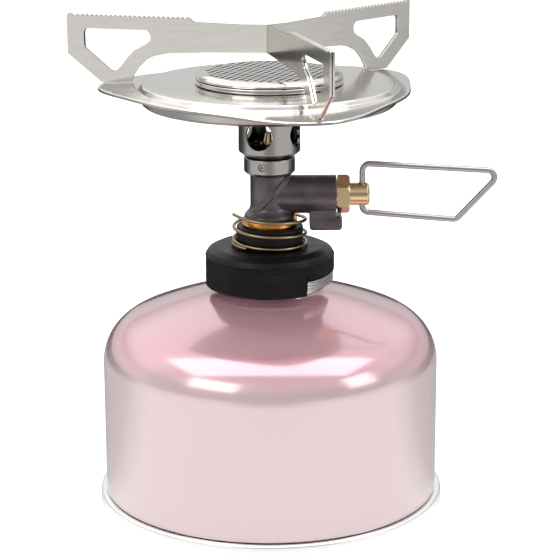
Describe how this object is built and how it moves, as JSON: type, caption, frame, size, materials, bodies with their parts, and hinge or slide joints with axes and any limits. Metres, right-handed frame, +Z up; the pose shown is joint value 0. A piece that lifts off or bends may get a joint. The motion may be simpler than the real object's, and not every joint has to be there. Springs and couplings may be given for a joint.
{
  "type": "canister stove",
  "caption": "Hiking gas stove screwed on a squat gas canister: toothed pot supports over a flame plate and perforated burner, side valve with folding wire handle.",
  "frame": {"origin": "under the middle of the whole object, on the surface the canister stands on; the axis of canister and burner stands at x -3.5 mm, y 3.9 mm", "axes": "+Z up along the canister axis, +X the way the valve arm and its handle point, -Y towards the viewer"},
  "size_m": [0.134, 0.1177, 0.1538],
  "materials": {
    "pink_paint": "gloss",
    "tinplate": "gloss",
    "stainless": "gloss",
    "satin_stainless": "satin",
    "steel_wire": "satin",
    "nickel": "satin",
    "black_anodised": "satin",
    "black_casting": "satin",
    "brass": "gloss",
    "spring_steel": "gloss",
    "rubber": "matte",
    "nylon": "matte",
    "sintered_bronze": "matte"
  },
  "bodies": {
    "canister": {"canister_body": "pink_paint", "canister_base": "tinplate", "valve_cup": "tinplate", "valve_gasket": "rubber", "valve_housing": "nylon", "poppet_spring": "spring_steel"},
    "poppet": {"valve_poppet": "nylon"},
    "seal_carrier": {"inlet_seal": "rubber"},
    "stove": {"thread_insert": "brass", "opening_pin": "brass", "inlet_filter": "sintered_bronze", "neck_sleeve": "black_anodised", "collar_spring": "spring_steel", "valve_body": "black_casting", "gland_nut": "brass", "jet": "brass", "stem_lock_ring": "nickel", "grub_screw": "nickel", "burner_stem": "nickel", "stem_nut": "nickel", "lower_dish": "stainless", "burner_bowl": "stainless", "burner_cap": "stainless", "flame_plate": "stainless", "pot_support_1": "satin_stainless", "pot_support_2": "satin_stainless", "pot_support_3": "satin_stainless"},
    "clamp": {"clamp_ring": "stainless"},
    "collar": {"lock_collar": "black_anodised"},
    "needle_seal": {"spindle_seal": "rubber"},
    "spindle": {"spindle": "brass"},
    "handle": {"handle_wire": "steel_wire"}
  },
  "joints": [
    {"name": "stove_lift", "type": "slide", "parent": "canister", "child": "seal_carrier", "axis": [0, 0, 1], "range_m": [0, 0.005]},
    {"name": "stove_unscrew", "type": "hinge", "parent": "seal_carrier", "child": "stove", "pos_m": [-0.0035, 0.0039, 0.072], "axis": [0, 0, 1], "range_deg": [0, 1980]},
    {"name": "poppet_close", "type": "slide", "parent": "canister", "child": "poppet", "axis": [0, 0, 1], "range_m": [0, 0.002], "deforming": ["poppet_spring"]},
    {"name": "collar_lift", "type": "slide", "parent": "stove", "child": "clamp", "axis": [0, 0, 1], "range_m": [0, 0.0035], "stiffness_N_per_m": 400, "springref_m": -0.006, "deforming": ["collar_spring"]},
    {"name": "collar_turn", "type": "hinge", "parent": "clamp", "child": "collar", "pos_m": [-0.0035, 0.0039, 0.077], "axis": [0, 0, 1], "range_deg": [-39, 0]},
    {"name": "needle_travel", "type": "slide", "parent": "stove", "child": "needle_seal", "axis": [1, 0, 0], "range_m": [0, 0.0019]},
    {"name": "valve_turn", "type": "hinge", "parent": "needle_seal", "child": "spindle", "pos_m": [0.0145, 0.0039, 0.0994], "axis": [1, 0, 0], "range_deg": [0, 900]},
    {"name": "handle_fold", "type": "hinge", "parent": "spindle", "child": "handle", "pos_m": [0.02535, 0.0039, 0.0994], "axis": [0, 0, 1], "range_deg": [-130, 130]}
  ],
  "couplings": [
    {"joint": "stove_lift", "follows": "stove_unscrew", "m_per_rad": 0.00014435},
    {"joint": "poppet_close", "follows": "stove_unscrew", "m_per_rad": 0.0000578},
    {"joint": "needle_travel", "follows": "valve_turn", "m_per_rad": 0.00011937}
  ]
}
